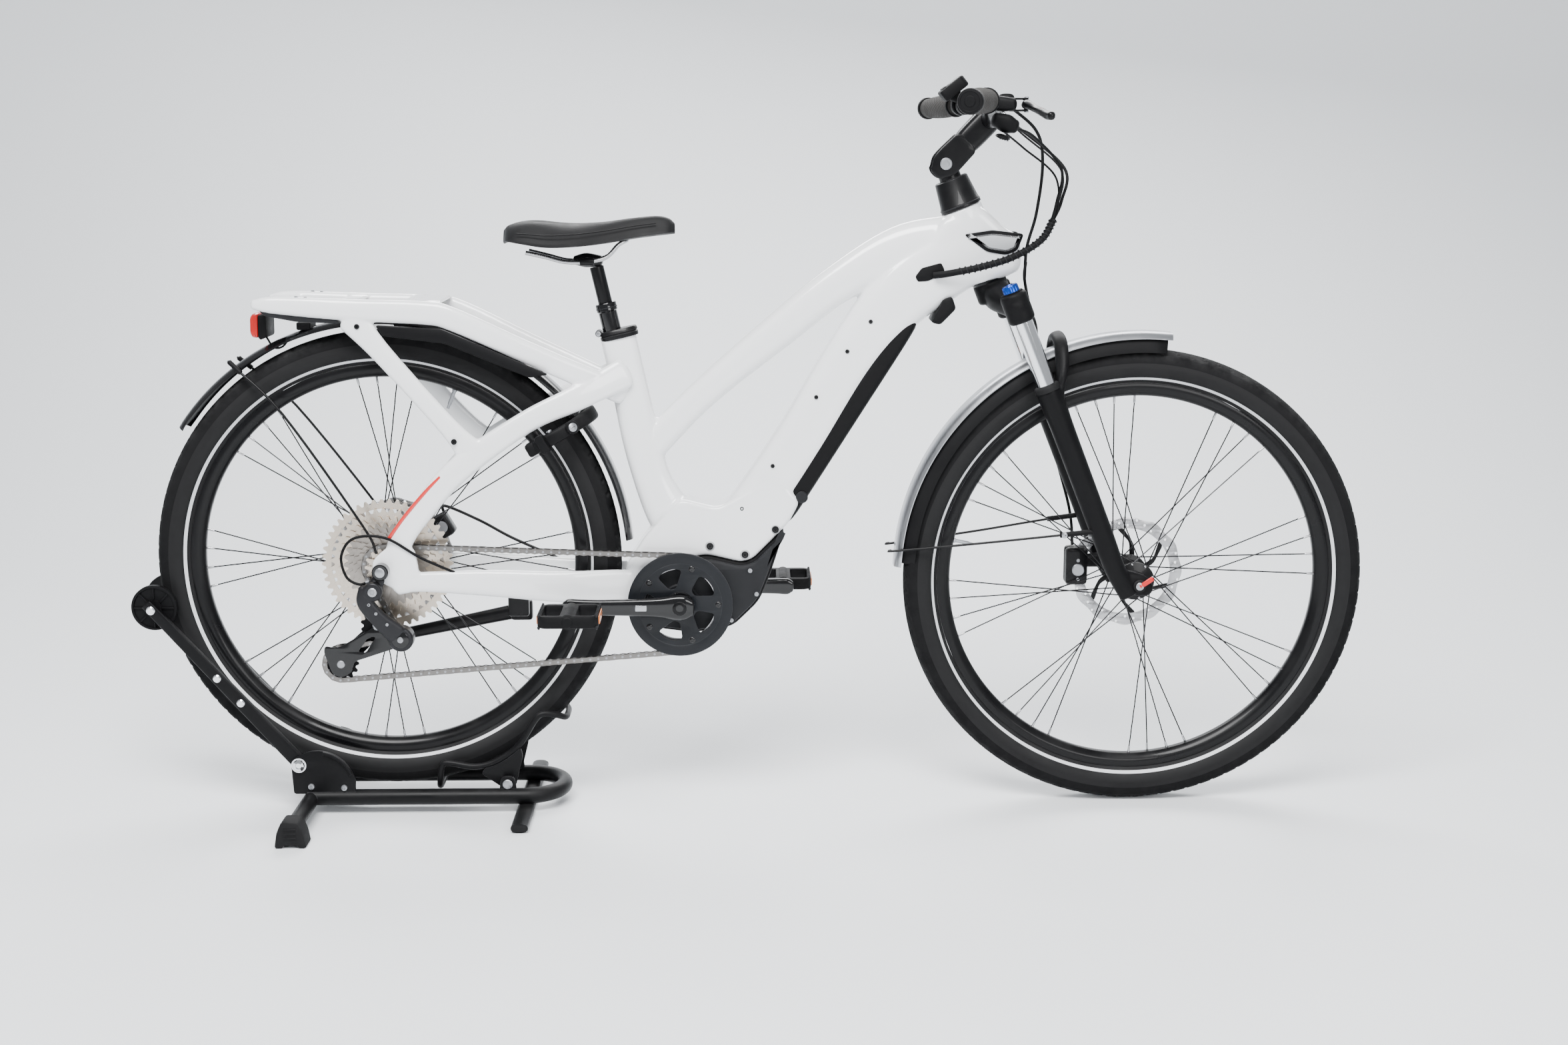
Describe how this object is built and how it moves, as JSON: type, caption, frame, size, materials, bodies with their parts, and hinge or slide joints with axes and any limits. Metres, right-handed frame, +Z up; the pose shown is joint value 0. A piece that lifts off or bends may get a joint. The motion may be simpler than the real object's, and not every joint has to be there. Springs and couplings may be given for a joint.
{
  "type": "bicycle on stand",
  "caption": "Step-through trekking e-bike with rack, mudguards and suspension fork, its rear wheel held in a tubular floor stand with a roller and a rocking cradle.",
  "frame": {"origin": "on the floor, midway between the back of the stand's roller and the front of the front tyre, in the bicycle's middle plane", "axes": "+X forwards to the front wheel, +Y to the rider's left, +Z up"},
  "size_m": [1.9484, 0.7004, 1.1543],
  "materials": {
    "gloss_white_paint": "gloss",
    "satin_black_paint": "satin",
    "black_powder_coat": "powder coat, fine orange peel",
    "matte_black_plastic": "matte, moulded",
    "tyre_rubber": "matte",
    "grey_grip_rubber": "matte, ribbed",
    "chrome_tube": "polished",
    "bright_steel": "bright",
    "champagne_sprocket": "satin champagne",
    "dark_grey_alloy": "satin dark grey",
    "saddle_skin": "matte synthetic",
    "red_lens": "clear gloss",
    "blue_alloy": "anodised"
  },
  "bodies": {
    "stand": {"stand_base": "black_powder_coat", "stand_foot_right": "tyre_rubber", "stand_foot_left": "tyre_rubber"},
    "stand_arms": {"stand_arms": "black_powder_coat"},
    "stand_roller": {"stand_roller": "matte_black_plastic"},
    "stand_cradle": {"stand_cradle": "black_powder_coat"},
    "bike_frame": {"main_frame": "gloss_white_paint", "rear_triangle": "gloss_white_paint", "drive_unit": "matte_black_plastic", "battery": "matte_black_plastic", "rear_mudguard": "satin_black_paint", "rear_light": "red_lens", "seat_collar": "satin_black_paint", "ring_lock_body": "matte_black_plastic", "derailleur_body": "dark_grey_alloy", "derailleur_cage": "dark_grey_alloy", "chain": "bright_steel", "rear_caliper": "satin_black_paint", "rear_axle": "bright_steel"},
    "lock_shackle": {"lock_shackle": "bright_steel"},
    "guide_pulley": {"guide_pulley": "dark_grey_alloy"},
    "tension_pulley": {"tension_pulley": "dark_grey_alloy"},
    "kick_leg": {"kick_leg": "satin_black_paint"},
    "rear_wheel": {"rear_tyre": "tyre_rubber", "rear_rim": "satin_black_paint", "rear_spokes": "satin_black_paint", "rear_rotor": "bright_steel"},
    "cassette": {"cassette": "champagne_sprocket"},
    "crank": {"chainring": "dark_grey_alloy", "crank_spindle": "bright_steel", "crank_arm_right": "satin_black_paint", "crank_arm_left": "satin_black_paint"},
    "pedal_right": {"pedal_right": "matte_black_plastic"},
    "pedal_left": {"pedal_left": "matte_black_plastic"},
    "steering": {"fork_crown": "matte_black_plastic", "stanchion_right": "chrome_tube", "stanchion_left": "chrome_tube", "stem_base": "satin_black_paint"},
    "lockout_knob": {"lockout_knob": "blue_alloy"},
    "stem": {"stem_arm": "satin_black_paint", "handlebar": "satin_black_paint", "grip_right": "grey_grip_rubber", "grip_left": "grey_grip_rubber", "display": "matte_black_plastic", "control_cables": "matte_black_plastic"},
    "brake_lever_right": {"brake_lever_right": "satin_black_paint"},
    "brake_lever_left": {"brake_lever_left": "satin_black_paint"},
    "shift_lever": {"shift_lever": "matte_black_plastic"},
    "fork_lowers": {"fork_lowers": "satin_black_paint", "front_mudguard": "dark_grey_alloy", "front_caliper": "satin_black_paint", "front_axle": "bright_steel"},
    "front_wheel": {"front_tyre": "tyre_rubber", "front_rim": "satin_black_paint", "front_spokes": "satin_black_paint", "front_rotor": "bright_steel"},
    "seatpost_outer": {"seatpost_outer": "satin_black_paint"},
    "seatpost_inner": {"seatpost_inner": "satin_black_paint"},
    "saddle": {"saddle_rails": "bright_steel", "saddle": "saddle_skin"}
  },
  "joints": [
    {"name": "bike_lift", "type": "slide", "parent": "stand", "child": "bike_frame", "axis": [0, 0, 1], "range_m": [0, 0.3]},
    {"name": "stand_arm_pivot", "type": "hinge", "parent": "stand", "child": "stand_arms", "pos_m": [-0.71808, 0, 0.0813], "axis": [0, 1, 0], "range_deg": [-50, 0]},
    {"name": "stand_roller_spin", "type": "hinge", "parent": "stand_arms", "child": "stand_roller", "pos_m": [-0.93822, 0, 0.33308], "axis": [0, 1, 0], "continuous": true},
    {"name": "stand_cradle_rock", "type": "hinge", "parent": "stand", "child": "stand_cradle", "pos_m": [-0.38928, 0, 0.0465], "axis": [0, 1, 0], "range_deg": [0, 29]},
    {"name": "rear_wheel_spin", "type": "hinge", "parent": "bike_frame", "child": "rear_wheel", "pos_m": [-0.57178, 0, 0.4], "axis": [0, 1, 0], "continuous": true},
    {"name": "cassette_spin", "type": "hinge", "parent": "bike_frame", "child": "cassette", "pos_m": [-0.57178, 0, 0.4], "axis": [0, 1, 0], "continuous": true},
    {"name": "crank_spin", "type": "hinge", "parent": "bike_frame", "child": "crank", "pos_m": [-0.11178, 0, 0.337], "axis": [0, 1, 0], "continuous": true},
    {"name": "pedal_right_spin", "type": "hinge", "parent": "crank", "child": "pedal_right", "pos_m": [-0.27668, 0, 0.34276], "axis": [0, 1, 0], "continuous": true},
    {"name": "pedal_left_spin", "type": "hinge", "parent": "crank", "child": "pedal_left", "pos_m": [0.05312, 0, 0.33124], "axis": [0, 1, 0], "continuous": true},
    {"name": "guide_pulley_spin", "type": "hinge", "parent": "bike_frame", "child": "guide_pulley", "pos_m": [-0.58638, -0.058, 0.306], "axis": [0, 1, 0], "continuous": true},
    {"name": "tension_pulley_spin", "type": "hinge", "parent": "bike_frame", "child": "tension_pulley", "pos_m": [-0.64528, -0.058, 0.245], "axis": [0, 1, 0], "continuous": true},
    {"name": "lock_shackle_turn", "type": "hinge", "parent": "bike_frame", "child": "lock_shackle", "pos_m": [-0.30494, 0, 0.60254], "axis": [0.4848, 0, -0.8746], "range_deg": [0, 100], "stiffness_Nm_per_rad": 0.2},
    {"name": "kickstand_swing", "type": "hinge", "parent": "bike_frame", "child": "kick_leg", "pos_m": [-0.37978, 0.09, 0.297], "axis": [0, -1, 0], "range_deg": [0, 85]},
    {"name": "steering", "type": "hinge", "parent": "bike_frame", "child": "steering", "pos_m": [0.37098, 0, 0.84003], "axis": [-0.3665, 0, 0.9304], "range_deg": [-60, 60], "deforming": ["control_cables"]},
    {"name": "fork_travel", "type": "slide", "parent": "steering", "child": "fork_lowers", "axis": [-0.3665, 0, 0.9304], "range_m": [0, 0.063], "stiffness_N_per_m": 6000, "springref_m": -0.03, "deforming": ["control_cables"]},
    {"name": "front_wheel_spin", "type": "hinge", "parent": "fork_lowers", "child": "front_wheel", "pos_m": [0.60822, 0, 0.366], "axis": [0, 1, 0], "continuous": true},
    {"name": "fork_lockout_turn", "type": "hinge", "parent": "steering", "child": "lockout_knob", "pos_m": [0.39052, -0.066, 0.84773], "axis": [-0.3665, 0, 0.9304], "range_deg": [0, 90]},
    {"name": "stem_tilt", "type": "hinge", "parent": "steering", "child": "stem", "pos_m": [0.30097, 0, 1.01774], "axis": [0, 1, 0], "range_deg": [-20, 25], "deforming": ["control_cables"]},
    {"name": "brake_lever_right_pull", "type": "hinge", "parent": "stem", "child": "brake_lever_right", "pos_m": [0.40198, -0.172, 1.10374], "axis": [0, 0, -1], "range_deg": [0, 22], "stiffness_Nm_per_rad": 1.5, "springref_deg": -2.86},
    {"name": "brake_lever_left_pull", "type": "hinge", "parent": "stem", "child": "brake_lever_left", "pos_m": [0.40198, 0.172, 1.10374], "axis": [0, 0, 1], "range_deg": [0, 22], "stiffness_Nm_per_rad": 1.5, "springref_deg": -2.86},
    {"name": "shift_lever_push", "type": "hinge", "parent": "stem", "child": "shift_lever", "pos_m": [0.37448, -0.18, 1.08075], "axis": [0, 0, -1], "range_deg": [0, 12], "stiffness_Nm_per_rad": 0.6, "springref_deg": -2.86},
    {"name": "seat_height", "type": "slide", "parent": "bike_frame", "child": "seatpost_outer", "axis": [-0.2215, 0, 0.9751], "range_m": [-0.025, 0.08]},
    {"name": "seatpost_suspension", "type": "slide", "parent": "seatpost_outer", "child": "seatpost_inner", "axis": [-0.2215, 0, 0.9751], "range_m": [-0.035, 0], "stiffness_N_per_m": 12000, "springref_m": 0.01},
    {"name": "saddle_tilt", "type": "hinge", "parent": "seatpost_inner", "child": "saddle", "pos_m": [-0.26109, 0, 0.86872], "axis": [0, 1, 0], "range_deg": [-10, 10]}
  ],
  "couplings": [
    {"joint": "stand_cradle_rock", "follows": "bike_lift", "rad_per_m": 1.67},
    {"joint": "cassette_spin", "follows": "crank_spin", "ratio": 2.375},
    {"joint": "guide_pulley_spin", "follows": "crank_spin", "ratio": -2.9231},
    {"joint": "tension_pulley_spin", "follows": "crank_spin", "ratio": 2.9231}
  ]
}
